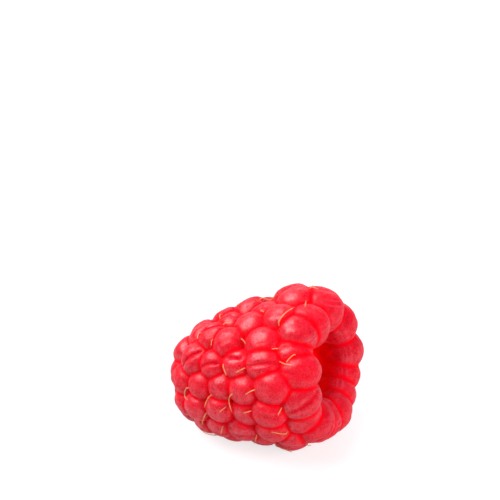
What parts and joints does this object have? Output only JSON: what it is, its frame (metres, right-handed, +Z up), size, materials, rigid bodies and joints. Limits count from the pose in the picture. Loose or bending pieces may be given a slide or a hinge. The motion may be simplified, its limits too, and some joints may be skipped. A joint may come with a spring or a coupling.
{
  "type": "raspberry",
  "caption": "Picked ripe raspberry lying on its side: a blunt cone of plump drupelets round an open hollow, with its mouth at +X.",
  "frame": {"origin": "centre of the bounding box in plan, on the surface that the fruit lies on", "axes": "+Z up as the fruit lies; +X along the fruit, from its closed tip towards its open mouth, whose middle is 14 degrees higher; -Y is its better side"},
  "size_m": [0.025, 0.0216, 0.0212],
  "materials": {
    "raspberry_flesh": "soft red translucent flesh with a satin skin and a fine pale down"
  },
  "bodies": {
    "root": {"raspberry": "raspberry_flesh"}
  },
  "joints": []
}
